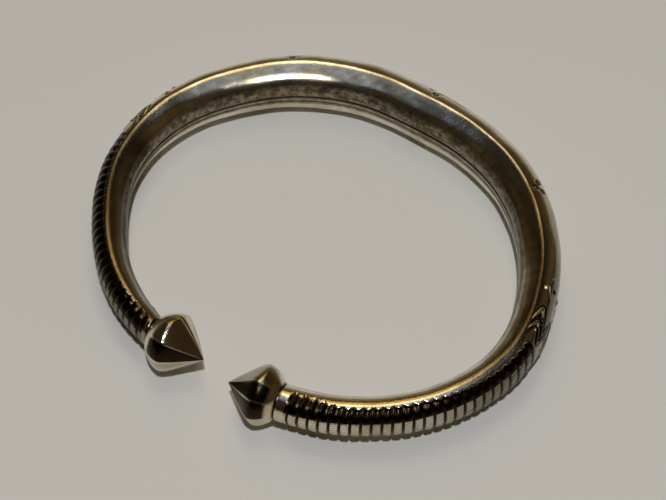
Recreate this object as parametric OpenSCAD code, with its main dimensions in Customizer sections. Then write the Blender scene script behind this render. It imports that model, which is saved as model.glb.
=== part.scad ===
// Penannular silver bangle lying on its side, with its opening towards -Y.
// A hollow hoop, ribbed and chased on both arms, has an open seam inside its back.
// A pointed bud closes each end. Units are millimetres, +Z is up and the floor is Z = 0.

/* [Hoop] */
// Overall width, from side to side
hoop_width = 79.2; // [72:0.2:90]
// Height of the band at the back
band_height = 9.6; // [9.2:0.1:9.7]
// Width of the band at the back, from its inner face to its outer face
band_width = 7.9; // [7.4:0.1:8.6]
// Thickness of the metal round the hollow
wall = 0.8; // [0.6:0.05:0.9]
// Height of the open seam in the inner face
seam_height = 0.3; // [0.2:0.05:0.4]

/* [Ribs] */
// Distance from one rib to the next, along the middle of the band
rib_pitch = 1.465; // [1.4:0.005:1.47]
// Grooves on the left arm
left_grooves = 26; // [16:1:26]
// Grooves on the right arm
right_grooves = 26; // [16:1:26]
// Width of a groove
groove_width = 0.45; // [0.3:0.05:0.6]
// Depth of a groove
groove_depth = 0.32; // [0.15:0.01:0.4]
// How far a groove of the left arm slants from the crest to the middle of the outer face
left_slant = 0.1; // [-0.4:0.1:0.4]
// The same for the right arm
right_slant = -0.5; // [-0.8:0.1:0]

/* [Leaves] */
// Height of the two raised lines round the pointed leaves
line_lift = 0.15; // [0.05:0.01:0.3]

/* [Buds] */
// Largest diameter of a bud
bud_diameter = 9.7; // [9.7:0.1:10.4]
// Length of the left bud
left_bud_length = 9.5; // [9:0.1:10]
// Length of the right bud
right_bud_length = 8.9; // [8.5:0.1:9.8]
// Flat petals round the front of a bud
petals = 7; // [5:1:9]
// Diameter of the peg behind a bud
peg_diameter = 2.6; // [2.2:0.1:2.8]
// Length of the peg
peg_length = 2.4; // [1.6:0.1:2.6]
// Gap left between a bud and the end of the hoop
seat_gap = 0.06; // [0.04:0.01:0.1]

/* [Hidden] */

// Outline of the hoop, one row for every 20 degrees from the middle of the back:
// [bearing, left reach, right reach, left width, right width, height, flat of the inner face,
// crest, sharpness]. The reaches are in mm for the nominal width. The widths and the height are
// shares of the size at the back, and the flat is a share of the height. The crest lies a share
// of the width outside the middle, and the bevel inside it is flat and sharp at 1 and round at 0.
// The arms are bent by hand and so are not quite alike.
station_step = 20;
stations = [
  [  0, 29.9, 29.9, 1.00, 1.00, 1.00, 0.34, -0.035, 1.0],
  [ 20, 31.3, 30.5, 1.00, 0.97, 1.00, 0.34, -0.035, 1.0],
  [ 40, 32.9, 31.8, 0.98, 0.92, 1.00, 0.33,  0.000, 0.9],
  [ 60, 34.4, 33.2, 0.91, 0.86, 0.97, 0.31,  0.020, 0.7],
  [ 80, 36.1, 35.1, 0.83, 0.79, 0.92, 0.29,  0.020, 0.5],
  [100, 36.3, 37.3, 0.76, 0.74, 0.84, 0.27,  0.020, 0.3],
  [120, 35.1, 37.2, 0.72, 0.72, 0.75, 0.25,  0.020, 0.1],
  [140, 34.3, 35.5, 0.67, 0.75, 0.67, 0.22,  0.020, 0.0],
  [160, 33.3, 33.4, 0.62, 0.75, 0.61, 0.20,  0.020, 0.0],
  [180, 32.3, 31.4, 0.58, 0.74, 0.58, 0.19,  0.020, 0.0]
];
nominal_width = 79.2;
left_end = 159.5;
right_end = 159.5;
bearing_step = 0.5;

// Places across the leaves of an arm, in mm from its end:
// [place at the crest and between two leaves, place at the tip of a leaf, height above the band].
// The tips lie towards the back, and the last rows only spread out to the plain back.
leaf_rows = [
  [40.6, 43.5, 0], [40.9, 43.8, 1], [41.2, 44.1, 0],
  [41.9, 45.9, 0], [42.2, 46.2, 1], [42.5, 46.5, 0],
  [44.2, 47.6, 0], [46.4, 48.9, 0], [48.7, 50.4, 0], [51.2, 52.1, 0]
];
spread_rows = 4;
// Half of the angle that a leaf takes round the outer face, and that of a groove
leaf_span = 30;
groove_span = 90;
// How a row bends from there to its middle: near 1 it makes a point, at 2 a round arch
leaf_curve = 1.15;
groove_curve = 2;
// Extra slant of the groove nearest to the leaves, and how quickly it fades along the arm
end_slant = 1.2;
slant_fade = 6;
// Smooth collar at each end, and the place of the first groove after it
collar_rows = [0, 0.45, 0.9];
left_first_groove = 1.7;
right_first_groove = 2.35;
// Where the plain back starts, the distance between its rows, and that between the rows of the
// hollow in the arms
plain_start = 54;
plain_step = 3.4;
hollow_every = 6;
// The seam stops this many rows inside the left and the right end of the plain back
seam_inset = [3, 1];

// Spots round a section: the outer face by angle above its middle, then each bevel
// by its share from the crest to the flat inner face, with the seam between them
face_angles = [for (a = [90:-15:-90]) a];
bevel_shares = [0.38, 0.7, 1];
// How the bevel runs, as shares of its run and drop:
// [level run at the crest, level run at the corner, drop at the crest, rise at the corner]
sharp_bevel = [0.5, 0, 0.2, 0.7];
round_bevel = [0.4, 0.12, 0, 0.45];
// Grooves and raised lines fade out from this angle up to the crest
full_depth_angle = 60;

// How far each end of the hoop is turned to face its bud, and the length of that turn
left_turn = 15;
right_turn = -2;
turn_length = 5;

// Profile of a bud: [share of its length, share of its largest radius]
bud_profile = [
  [0, 0.55], [0.04, 0.64], [0.11, 0.77], [0.20, 0.90], [0.29, 0.975], [0.38, 1],
  [0.46, 0.96], [0.54, 0.87], [0.64, 0.71], [0.76, 0.49], [0.88, 0.25], [1, 0]
];
// Slope of the petals as a share of the radius over the length, and points across one petal
petal_slope = 1.72;
petal_points = 6;
// The peg starts this far inside the bud
peg_overlap = 1;
round_fn = 48;

scale_up = hoop_width / nominal_width;
mid_height = bud_diameter / 2;

// The stations of both arms in one list, by bearing from -180 to 180
last_station = len(stations) - 1;
outline = concat(
  [for (i = [last_station:-1:1]) let (s = stations[i]) [-s[0], s[1], s[3], s[5], s[6], s[7], s[8]]],
  [for (s = stations) [s[0], s[2], s[4], s[5], s[6], s[7], s[8]]]
);
REACH = 1;
WIDTH = 2;
HEIGHT = 3;
FLAT = 4;
CREST = 5;
SHARP = 6;

// One column of the outline at a bearing, on a cubic whose slopes come from the neighbours
function along(bearing, col) =
  let (
    x = bearing / station_step + last_station,
    i = min(max(floor(x), 1), len(outline) - 3),
    t = x - i,
    p = [for (k = [-1:2]) outline[i + k][col]]
  )
  (2 * p[1] + (p[2] - p[0]) * t + (2 * p[0] - 5 * p[1] + 4 * p[2] - p[3]) * t * t
    + (3 * p[1] - p[0] - 3 * p[2] + p[3]) * t * t * t) / 2;

function bare_centre(bearing) = scale_up * along(bearing, REACH) * [sin(bearing), cos(bearing)];
function heading(bearing) =
  let (d = bare_centre(bearing + bearing_step) - bare_centre(bearing - bearing_step))
  d / norm(d);
function turned(v, angle) = [v[0] * cos(angle) - v[1] * sin(angle), v[0] * sin(angle) + v[1] * cos(angle)];

// The origin is the middle of the box that holds the band's outer edge and both buds
box_bearing = 150;
function outer_edge(bearing) =
  bare_centre(bearing) + turned(heading(bearing), 90) * band_width * along(bearing, WIDTH) / 2;
function bud_front(bearing, direction, turn, length) =
  let (d = direction * turned(heading(bearing), turn))
  min([for (row = bud_profile)
    bare_centre(bearing)[1] + d[1] * (seat_gap + row[0] * length) - abs(d[0]) * row[1] * bud_diameter / 2]);
edge = [for (b = [-box_bearing:box_bearing]) outer_edge(b)];
back_edge = max([for (e = edge) e[1]]);
front_edge = min(bud_front(-left_end, -1, left_turn, left_bud_length),
                 bud_front(right_end, 1, right_turn, right_bud_length));
origin = [
  (min([for (e = edge) e[0]]) + max([for (e = edge) e[0]])) / 2,
  (front_edge + back_edge) / 2
];
function centre(bearing) = bare_centre(bearing) - origin;

// Distance from the left end along the middle of the band, against the bearing
places = [
  for (b = -left_end, s = 0; b <= right_end;
       s = s + norm(centre(b + bearing_step) - centre(b)), b = b + bearing_step) [s, b]
];
hoop_length = places[len(places) - 1][0];

// The end rings turn until they face the buds
function ease(x) = let (t = min(max(x, 0), 1)) t * t * (3 - 2 * t);
function end_turn(place) =
  left_turn * ease(1 - place / turn_length)
  + right_turn * ease(1 - (hoop_length - place) / turn_length);

FACE = 0;
BEVEL = 1;
SEAM = 2;
spots = concat(
  [for (a = face_angles) [FACE, a]],
  [for (t = bevel_shares) [BEVEL, -t]],
  [[SEAM, -1], [SEAM, 1]],
  [for (i = [len(bevel_shares) - 1:-1:0]) [BEVEL, bevel_shares[i]]]
);
ring_size = len(spots);
lower_seam = len(face_angles) + len(bevel_shares);
upper_seam = lower_seam + 1;

function bezier(p, t) = (1 - t) * (1 - t) * (1 - t) * p[0] + 3 * (1 - t) * (1 - t) * t * p[1]
  + 3 * (1 - t) * t * t * p[2] + t * t * t * p[3];

// A spot of the section, [outwards, upwards] from its centre
function section_point(spot, w, h, flat, crest_x, sharp) =
  let (
    kind = spot[0],
    crest = [crest_x, h / 2],
    corner = [-w / 2, flat / 2],
    run = crest[0] - corner[0],
    drop = crest[1] - corner[1],
    side = sign(spot[1]),
    bend = round_bevel + sharp * (sharp_bevel - round_bevel),
    b = bezier([crest, crest - [bend[0] * run, bend[2] * drop],
                corner + [bend[1] * run, bend[3] * drop], corner],
               abs(spot[1]))
  )
  kind == FACE ? [crest[0] + (w / 2 - crest[0]) * cos(spot[1]), crest[1] * sin(spot[1])]
  : kind == BEVEL ? [b[0], side * b[1]]
  : [-w / 2, side * seam_height / 2];

function section_normal(spot, w, h, crest_x) =
  let (n = [cos(spot[1]) / (w / 2 - crest_x), sin(spot[1]) / (h / 2)])
  n / norm(n);

// A spot of the band at a place along the hoop, raised by lift and set in by inset
function band_point(place, spot, lift, inset) =
  let (
    bearing = lookup(place, places),
    w = band_width * along(bearing, WIDTH) - 2 * inset,
    h = band_height * along(bearing, HEIGHT) - 2 * inset,
    crest_x = w * along(bearing, CREST),
    sharp = min(1, max(0, along(bearing, SHARP))),
    p = section_point(spot, w, h, h * along(bearing, FLAT), crest_x, sharp)
      + (lift == 0 ? [0, 0] : lift * section_normal(spot, w, h, crest_x)),
    d = turned(heading(bearing), end_turn(place)),
    c = centre(bearing) + [-d[1], d[0]] * p[0]
  )
  [c[0], c[1], mid_height + p[1]];

// Rows of rings: [place at the crest, shift at the middle of each span, curve, span, lift]
function groove_rows(first, count, slant) = [
  for (i = [0:count - 1]) for (side = [-1, 0, 1])
    [first + i * rib_pitch + side * groove_width / 2,
     slant + end_slant * pow(i / (count - 1), slant_fade),
     groove_curve, groove_span, side == 0 ? -groove_depth : 0]
];
function arm_rows(first, count, slant) = concat(
  [for (c = collar_rows) [c, 0, groove_curve, groove_span, 0]],
  groove_rows(first, count, slant),
  [for (r = leaf_rows) [r[0], r[1] - r[0], leaf_curve, leaf_span, r[2] * line_lift]]
);
left_rows = arm_rows(left_first_groove, left_grooves, left_slant);
right_rows = arm_rows(right_first_groove, right_grooves, right_slant);
plain_length = hoop_length - 2 * plain_start;
plain_count = ceil(plain_length / plain_step);
rows = concat(
  left_rows,
  [for (i = [0:plain_count]) [plain_start + plain_length * i / plain_count, 0, 1, groove_span, 0]],
  [for (i = [len(right_rows) - 1:-1:0]) let (r = right_rows[i]) [hoop_length - r[0], -r[1], r[2], r[3], r[4]]]
);
row_count = len(rows);
first_plain = len(left_rows);
last_plain = first_plain + plain_count;

// How far an angle lies from the middle of its span: 0 there and 1 at both ends
function off_middle(angle, span) = abs((angle + span + 360) % (2 * span) - span) / span;

function skin_point(row, spot) =
  let (
    outside = spot[0] == FACE,
    shift = outside ? row[1] * (1 - pow(off_middle(spot[1], row[3]), row[2])) : 0,
    share = outside ? min(1, (90 - abs(spot[1])) / (90 - full_depth_angle)) : 0
  )
  band_point(row[0] + shift, spot, row[4] * share, 0);

// The hollow follows every ring of the back, from where the leaves end, and some of each arm's
plain_from = first_plain - spread_rows;
plain_to = last_plain + spread_rows;
hollow_rows = concat(
  [for (i = [0:hollow_every:plain_from - 2]) i],
  [for (i = [plain_from:plain_to]) i],
  [for (i = [plain_to + hollow_every:hollow_every:row_count - 3]) i],
  [row_count - 1]
);
hollow_count = len(hollow_rows);
skin_size = row_count * ring_size;
function outer_index(i, j) = i * ring_size + (j + ring_size) % ring_size;
function inner_index(i, j) = skin_size + i * ring_size + (j + ring_size) % ring_size;
function hollow_place(i) = search(i, hollow_rows)[0];
function quad(a, b, c, d) = [[a, b, c], [a, c, d]];

seam_first = first_plain + seam_inset[0];
seam_last = last_plain - seam_inset[1];
function seam_span(i, j) = j == lower_seam && i >= seam_first && i < seam_last;

module hoop() {
  points = concat(
    [for (row = rows) for (spot = spots) skin_point(row, spot)],
    [for (i = hollow_rows) for (spot = spots) band_point(rows[i][0], spot, 0, wall)]
  );
  outside = [for (i = [0:row_count - 2]) for (j = [0:ring_size - 1]) if (!seam_span(i, j))
    each quad(outer_index(i, j), outer_index(i, j + 1),
              outer_index(i + 1, j + 1), outer_index(i + 1, j))];
  inside = [for (k = [0:hollow_count - 2]) for (j = [0:ring_size - 1]) if (!seam_span(hollow_rows[k], j))
    each quad(inner_index(k, j), inner_index(k + 1, j),
              inner_index(k + 1, j + 1), inner_index(k, j + 1))];
  rims = [for (j = [0:ring_size - 1]) each concat(
    quad(outer_index(0, j), inner_index(0, j), inner_index(0, j + 1), outer_index(0, j + 1)),
    quad(outer_index(row_count - 1, j), outer_index(row_count - 1, j + 1),
         inner_index(hollow_count - 1, j + 1), inner_index(hollow_count - 1, j)))];
  seam_sides = [for (i = [seam_first:seam_last - 1]) let (k = hollow_place(i)) each concat(
    quad(outer_index(i, lower_seam), inner_index(k, lower_seam),
         inner_index(k + 1, lower_seam), outer_index(i + 1, lower_seam)),
    quad(outer_index(i, upper_seam), outer_index(i + 1, upper_seam),
         inner_index(k + 1, upper_seam), inner_index(k, upper_seam)))];
  first = hollow_place(seam_first);
  last = hollow_place(seam_last);
  seam_ends = concat(
    quad(outer_index(seam_first, lower_seam), outer_index(seam_first, upper_seam),
         inner_index(first, upper_seam), inner_index(first, lower_seam)),
    quad(outer_index(seam_last, lower_seam), inner_index(last, lower_seam),
         inner_index(last, upper_seam), outer_index(seam_last, upper_seam)));
  color("silver")
    polyhedron(points, concat(outside, inside, rims, seam_sides, seam_ends), convexity = 10);
}

// A bud along +X from its base at the origin: a round bulb cut by flat petals that meet
// at the point. Each petal is a plane, so its radius grows towards its edges as 1 / cos.
function bud_radius(t, angle) =
  let (off = (angle + 180 / petals) % (360 / petals) - 180 / petals)
  min(lookup(t, bud_profile), petal_slope * (1 - t) / cos(off));

module bud(length) {
  spokes = petals * petal_points;
  rings = len(bud_profile) - 1;
  points = concat(
    [for (i = [0:rings - 1]) let (t = bud_profile[i][0]) for (j = [0:spokes - 1])
      let (angle = j * 360 / spokes, r = bud_diameter / 2 * bud_radius(t, angle))
      [t * length, r * sin(angle), r * cos(angle)]],
    [[0, 0, 0], [length, 0, 0]]
  );
  base = rings * spokes;
  sides = [for (i = [0:rings - 2]) for (j = [0:spokes - 1]) let (k = (j + 1) % spokes)
    each quad(i * spokes + j, i * spokes + k, (i + 1) * spokes + k, (i + 1) * spokes + j)];
  caps = [for (j = [0:spokes - 1]) let (k = (j + 1) % spokes, front = (rings - 1) * spokes)
    each [[base, k, j], [front + j, front + k, base + 1]]];
  polyhedron(points, concat(sides, caps), convexity = 4);
}

// A bud on the end of the hoop at a place, with the peg that runs back into the hollow
module finial(place, direction, turn, length) {
  bearing = lookup(place, places);
  d = direction * turned(heading(bearing), turn);
  bend = atan2(d[1], d[0]);
  c = centre(bearing);
  translate([c[0] + seat_gap * d[0], c[1] + seat_gap * d[1], mid_height])
    rotate([0, 0, bend])
      union() {
        bud(length);
        rotate([0, 0, -turn])
          translate([-peg_length, 0, 0])
            rotate([0, 90, 0])
              cylinder(d = peg_diameter, h = peg_length + peg_overlap, $fn = round_fn);
      }
}

module left_finial() {
  color("gainsboro") finial(0, -1, left_turn, left_bud_length);
}

module right_finial() {
  color("gainsboro") finial(hoop_length, 1, right_turn, right_bud_length);
}

hoop();
left_finial();
right_finial();
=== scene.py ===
# Penannular silver bangle on its side: a hollow hoop, ribbed and chased, with a pointed bud on each end.
# Shapes are worked out in millimetres and degrees, and go into the meshes in metres.
import math

import bpy
import numpy as np
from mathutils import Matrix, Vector
from mathutils.kdtree import KDTree


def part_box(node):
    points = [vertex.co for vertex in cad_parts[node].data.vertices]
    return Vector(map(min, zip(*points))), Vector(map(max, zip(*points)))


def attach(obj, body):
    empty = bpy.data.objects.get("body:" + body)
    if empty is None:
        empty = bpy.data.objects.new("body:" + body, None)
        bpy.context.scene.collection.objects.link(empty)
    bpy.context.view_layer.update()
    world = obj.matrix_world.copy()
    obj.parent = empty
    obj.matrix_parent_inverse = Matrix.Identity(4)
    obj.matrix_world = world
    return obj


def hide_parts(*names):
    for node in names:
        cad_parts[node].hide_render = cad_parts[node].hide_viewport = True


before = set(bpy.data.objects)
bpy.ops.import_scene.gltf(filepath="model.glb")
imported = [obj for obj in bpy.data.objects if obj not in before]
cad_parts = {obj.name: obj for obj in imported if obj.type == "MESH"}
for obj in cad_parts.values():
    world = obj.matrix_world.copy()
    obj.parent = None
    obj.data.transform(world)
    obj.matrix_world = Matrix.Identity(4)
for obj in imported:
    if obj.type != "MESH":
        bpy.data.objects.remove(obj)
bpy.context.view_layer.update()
millimetre = 0.001
tiny = 1e-9  # keeps a division from ending in nothing
print("frame loaded:", ", ".join(sorted(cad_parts)))


# What the pieces share: the band's plan and section, and the helpers

band = {
    "height": 9.6,  # at the middle of the back
    "width": 7.9,
    "wall": 0.8,
    "seam": 0.3,  # height of the open seam in the inner face
    "middle": 4.85,  # height of the band's middle above the floor
    "armEnd": 159.5,  # bearing of both ends
    "bearingStep": 0.5,
    "stationStep": 20,
    # bearing, left reach, right reach, left width, right width, height, flat of the inner face,
    # crest, sharpness; reaches in mm, widths and height as shares of the back's, the flat as a
    # share of the height, the crest as a share of the width outside the middle
    "stations": [
        [0, 29.9, 29.9, 1.00, 1.00, 1.00, 0.34, -0.035, 1],
        [20, 31.3, 30.5, 1.00, 0.97, 1.00, 0.34, -0.035, 1],
        [40, 32.9, 31.8, 0.98, 0.92, 1.00, 0.33, 0, 0.9],
        [60, 34.4, 33.2, 0.91, 0.86, 0.97, 0.31, 0.02, 0.7],
        [80, 36.1, 35.1, 0.83, 0.79, 0.92, 0.29, 0.02, 0.5],
        [100, 36.3, 37.3, 0.76, 0.74, 0.84, 0.27, 0.02, 0.3],
        [120, 35.1, 37.2, 0.72, 0.72, 0.75, 0.25, 0.02, 0.1],
        [140, 34.3, 35.5, 0.67, 0.75, 0.67, 0.22, 0.02, 0],
        [160, 33.3, 33.4, 0.62, 0.75, 0.61, 0.20, 0.02, 0],
        [180, 32.3, 31.4, 0.58, 0.74, 0.58, 0.19, 0.02, 0],
    ],
    "endTurn": (15, -2),  # each end is turned to face its bud
    "turnLength": 5,
    # how the bevel runs, as shares of its run and drop: level run at the crest and at the corner,
    # drop at the crest, rise at the corner
    "sharpBevel": (0.5, 0, 0.25, 0.7),
    "roundBevel": (0.4, 0.12, 0, 0.45),
    "shoulder": (0.12, 0.07),  # how far a sharp crest draws the outer face's half ellipse to a point
    "fullShoulder": (82, 32, 0.3),  # the plain part of the right arm is squarer: bearing, reach, how much
}

# The left side's rows run backwards at negative bearings, and each side keeps its own reach and width
stationTable = np.array(band["stations"], float)
lastStation = len(stationTable) - 1
leftSide = stationTable[:0:-1][:, [0, 1, 3, 5, 6, 7, 8]] * [-1, 1, 1, 1, 1, 1, 1]
outline = np.vstack([leftSide, stationTable[:, [0, 2, 4, 5, 6, 7, 8]]])
reachColumn, widthColumn, heightColumn, flatColumn, crestColumn, sharpColumn = 1, 2, 3, 4, 5, 6


def ease(x):
    # Smooth step: 3 x squared less 2 x cubed between 0 and 1
    x = np.clip(x, 0, 1)
    return x * x * (3 - 2 * x)


def bump(distance, width):
    # Bell curve of height 1 over a distance
    return np.exp(-((distance / width) ** 2))


def alongOutline(bearing, column):
    # Cubic through four neighbouring stations whose slopes come from the neighbours
    x = np.asarray(bearing, float) / band["stationStep"] + lastStation
    i = np.clip(np.floor(x).astype(int), 1, len(outline) - 3)
    t = x - i
    before, start, end, after = (outline[i + k, column] for k in (-1, 0, 1, 2))
    square = (2 * before - 5 * start + 4 * end - after) * t**2
    cube = (3 * start - before - 3 * end + after) * t**3
    return (2 * start + (end - before) * t + square + cube) / 2


def middleLine(bearing):
    # Middle of the band in plan: its reach from the pole times the direction of the bearing
    angle = np.radians(bearing)
    reach = alongOutline(bearing, reachColumn)
    return np.stack([reach * np.sin(angle), reach * np.cos(angle)], axis=-1)


def headingAt(bearing):
    # Direction of the band in plan: from the middle line a step before to a step after
    step = middleLine(bearing + band["bearingStep"]) - middleLine(bearing - band["bearingStep"])
    return step / np.linalg.norm(step, axis=-1, keepdims=True)


def turned(vector, angle):
    # A vector in plan turned by an angle: x cos less y sin, and x sin plus y cos
    c, s = np.cos(np.radians(angle)), np.sin(np.radians(angle))
    x, y = vector[..., 0], vector[..., 1]
    return np.stack([x * c - y * s, x * s + y * c], axis=-1)


bearings = np.arange(-band["armEnd"], band["armEnd"] + band["bearingStep"] / 2, band["bearingStep"])
steps = np.linalg.norm(np.diff(middleLine(bearings), axis=0), axis=1)
places = np.concatenate([[0], np.cumsum(steps)])  # distances along the band from its left end
hoopLength = places[-1]


def endTurn(place):
    # Each end's turn, which fades away from it by a smooth step
    left, right = band["endTurn"]
    reach = band["turnLength"]
    return left * ease(1 - place / reach) + right * ease(1 - (hoopLength - place) / reach)


handWaves = {"count": 9, "spread": (0.7, 1.6)}  # sizes of the waves as shares of the size asked for


def waves(points, size, seed):
    # Low unevenness of hand work: a sum of sine waves about size mm long in random directions
    rng = np.random.default_rng(seed)
    total = np.zeros(points.shape[:-1])
    for k in range(handWaves["count"]):
        direction = rng.normal(size=3)
        direction *= 2 * math.pi / (size * rng.uniform(*handWaves["spread"]) * np.linalg.norm(direction))
        total += np.sin(points @ direction + rng.uniform(0, 2 * math.pi))
    return total / math.sqrt(handWaves["count"] / 2)


def gridNormals(points):
    # Cross product of the two directions of a grid whose second one closes on itself
    across = np.roll(points, -1, axis=1) - np.roll(points, 1, axis=1)
    normal = np.cross(np.gradient(points, axis=0), across)
    return normal / np.maximum(np.linalg.norm(normal, axis=-1, keepdims=True), tiny)


def gridFaces(start, rows, across, skip=None, inwards=False):
    # Quads of a grid that closes on itself, counter-clockwise seen from outside
    i, j = np.meshgrid(np.arange(rows - 1), np.arange(across), indexing="ij")
    right = (j + 1) % across
    corners = [i * across + j, (i + 1) * across + j, (i + 1) * across + right, i * across + right]
    quads = np.stack(corners[::-1] if inwards else corners, axis=-1).reshape(-1, 4) + start
    return quads if skip is None else quads[~skip(i, j).ravel()]


def makeMesh(name, points, faces, attributes):
    # Points in mm go in as metres; attributes are one number for each point
    mesh = bpy.data.meshes.new(name)
    mesh.from_pydata((points * millimetre).tolist(), [], faces)
    for key, values in attributes.items():
        layer = mesh.attributes.new(key, "FLOAT", "POINT")
        layer.data.foreach_set("value", np.asarray(values, np.float32))
    mesh.polygons.foreach_set("use_smooth", np.ones(len(mesh.polygons), bool))
    mesh.update()
    piece = bpy.data.objects.new(name, mesh)
    bpy.context.scene.collection.objects.link(piece)
    return piece


# The hoop

hoop = {
    # Places are mm along the crest from the nearer end. Section angles are degrees, 90 at the upper
    # crest and 0 at the middle of the outer face. Pairs without a note are left and right arm.
    "ribPitch": 1.465,
    "grooves": (26, 26),
    "firstGroove": (1.7, 2.35),
    "grooveDepth": (0.24, 0.3),
    "grooveHalfWidth": 0.26,
    "slant": (0.1, -0.5),  # how far along the middle of a groove lies from its ends, by the bud
    "endSlant": 1.2,  # and how much more at the last one
    "slantFade": 6,  # power by which that grows along the arm
    "slantStart": 0.9,  # nothing leans before this place
    "slantEnd": 43.6,  # and after this one
    "grooveCurve": 2,  # power by which a groove bends over the outer face
    # place, section angle at which the grooves start: over the crest by the buds
    "grooveTops": (
        [[0, 104], [4, 100], [8, 90], [15, 88], [25, 84], [38, 82]],
        [[0, 108], [4, 104], [7, 92], [10, 83], [22, 80], [28, 72], [35, 66]],
    ),
    # the tool goes in with a pointed scoop at the top of each groove
    "scoopHalfWidth": (0.45, 0.73),
    "scoopDepth": (0.14, 0.26),
    "scoopLength": 0.8,  # from its point to its full width
    "scoopFade": 1.3,
    "scoopStart": 0.3,
    "scoopSide": (0.25, 0.1),  # width of its slope: a share of its half width, and mm more
    "ribCrown": 0.07,  # a rib's sides lie this much below its middle
    "fileMarks": 0.03,  # fine marks across the lower part of each rib
    "fileStep": 0.46,
    "fileShift": 2.4,  # radians from one rib to the next
    "fileStart": (38, 8),  # section angle, and degrees over which they come in
    # three pointed leaves are chased side by side round each arm, inside two raised lines:
    # crest place, place at the leaf's tip
    "leafLines": [[40.9, 43.8], [42.2, 46.2]],
    "leafFolds": 60,  # degrees of the section that a leaf takes
    "leafCurve": 1.15,
    "leafReach": 88,  # section angle at which the lines end, above and below
    "leafFade": (82, 8),  # section angle, and degrees over which they go out
    "leafSamples": 700,
    "leafZone": (39.5, 48),
    "lineHeight": 0.13,
    "lineWidth": 0.17,
    "lineSpacing": 0.06,
    "lineCut": 0.09,  # a cut runs along each side of them
    "lineCutAway": 0.38,
    "lineCutWidth": 0.13,
    "dotLines": [[41.35, 44.6], [41.75, 45.4]],
    "dotSpacing": 0.62,
    "dotRadius": 0.17,
    "dotDepth": 0.13,
    # grains above the tip of each leaf and in its mouth: place, angle from the leaf's middle
    "granules": [[51.5, -12], [49.9, 3], [50.1, -29], [42.4, -9]],
    "granuleRadius": 0.5,
    "granuleHeight": 0.26,
    "tails": [[49.3, -4], [48.8, -9], [48.2, -15]],  # smaller ones in a row below them
    "tailRadius": 0.3,
    "plainStart": 54,
    # trios of ring punches on the back: bearing, section angle
    "rings": [
        [-44.2, 52], [-41.4, 56], [-43.0, 70],
        [-0.1, 48], [2.6, 68], [3.5, 49],
        [46.7, 54], [49.8, 51], [48.6, 69],
    ],
    "ringRadius": 0.4,
    "ringWidth": 0.17,
    "ringDepth": 0.2,
    "stroke": [[4.2, 50], [9, 54], [14.2, 57]],  # a long thin cut that runs on from the middle trio
    "strokeSamples": 200,
    "strokeSpacing": 0.08,
    "strokeWidth": 0.12,
    "strokeDepth": 0.08,
    # the crest stands a little proud; on the left arm a share of it is kept from a place on
    "crestHeight": 0.1,
    "crestWidth": 0.5,
    "keptCrest": (0.4, 4, 8),  # share, place, mm over which it comes in
    "seamPlaces": (64, 57.3),  # the open seam ends this far from the left and the right end
    "lipRoll": (0.12, 0.28),  # both lips roll in at the seam: how far, over what height
    "scoredLine": (0.62, 0.11),  # a line scored below it: share of the half flat, half width
    "scoredDepth": 0.08,
    "setIn": 0.04,  # the skin lies this far inside its plain form, so that no wave stands out of it
    "waviness": 0.03,
    "innerWaviness": 0.4,  # as a share, on the inner face
    "waveSize": 7,
    "waveSeed": 4,
    # how it is worn and shaded: oxide, dullness and painted shade darken it (up to 1), and a brown film lies
    # on the inner face
    "grooveOxide": 1.8,  # darkness across a groove, over its depth
    "scoopOxide": 0.75,
    "fileOxide": 0.45,
    # painted shade on the upper part of each rib, standing in for its dark reflection: how dark on each arm
    "ribShade": (0.5, 0.85),
    "ribShadeTop": (0.3, 0.4),  # mm below the groove's start, and over how many
    "ribShadeFoot": (24, 8),  # section angle, and over how many degrees
    "cutOxide": 0.8,
    "seamShade": 0.3,  # height of the painted shade about the seam
    # these darken the silver: partly dullness, partly painted shade for dimmer reflections, and on the crests
    # painted shade over their highlight
    "dullShadeLeft": (0.48, 44, 6),  # left arm: how dark, up to which place, over how many mm
    "dullShadeRight": (0.26, 85, 36),  # right arm: how dark, about which bearing, over how many degrees
    "dullShadeEdge": (0.66, 86, 36),  # the same for its outer edge
    "dullShadeEdgeTop": (58, 10),  # section angle, and over how many degrees
    "dullShadeCrest": (0.74, 38, 1.2),  # how dark, degrees of bearing, mm from the crest
    "dullShadeCrestAt": (84, -112),  # bearings
    "dullShadeBevel": 0.34,
    "dullShadeBevelMost": 0.5,
    "dullShadeBevelStart": 0.2,  # share of the bevel over which it comes in
    "mottles": ((6, 21), (1.6, 22)),  # size in mm and seed of two kinds of patches on the bevel
    "mottleDepth": 0.12,
    "filmTop": (0.1, 0.3),  # mm above the seam, and over how many
    "filmCorner": (0.62, 0.15),  # share of the bevel at which it ends, and over what share
    "filmBelow": 0.75,
    # how closely the mesh is set, in mm, finer where more is cut into it
    "ribRows": (-0.73, -0.45, -0.28, -0.13, 0, 0.13, 0.28, 0.45),  # from the middle of a groove
    "endRows": 0.25,
    "endGap": 0.1,
    "leafRows": 0.12,
    "grainStart": 46.6,
    "grainRows": 0.2,
    "grainEnd": 53.9,
    "backRows": 0.8,
    "ringRows": 0.12,
    "ringReach": (0.7, 0.75),  # before and after a ring's middle
    "closest": 0.045,
    "roundTo": 2,  # decimals
    "faceStep": 2.5,  # degrees from spot to spot round the outer face, twice that low down
    "faceTurn": -40,  # where it doubles
    "bevelSpots": 9,
    "bevelEnd": (0.92, 0.97, 1),
    "innerSpots": (0.93, 0.8, 0.68, 0.62, 0.56, 0.38, 0.24, 0.12),  # shares from the seam to the corner
    "hollowAngles": (90, 60, 30, 0, -30, -60, -90),
    "hollowBevel": (0.5, 1),
}


def armLayout(side):
    # Key rows of one arm as columns: crest place, shift at the middle of the outer face
    count, first = hoop["grooves"][side], hoop["firstGroove"][side]
    share = np.arange(count) / (count - 1)
    slant = hoop["slant"][side] + hoop["endSlant"] * share ** hoop["slantFade"]
    ribs = np.stack([first + hoop["ribPitch"] * np.arange(count), slant], axis=1)
    level = [[place, 0] for place in (0, hoop["slantStart"], hoop["slantEnd"], hoop["plainStart"])]
    return np.vstack([level[:2], ribs, level[2:]])


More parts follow.
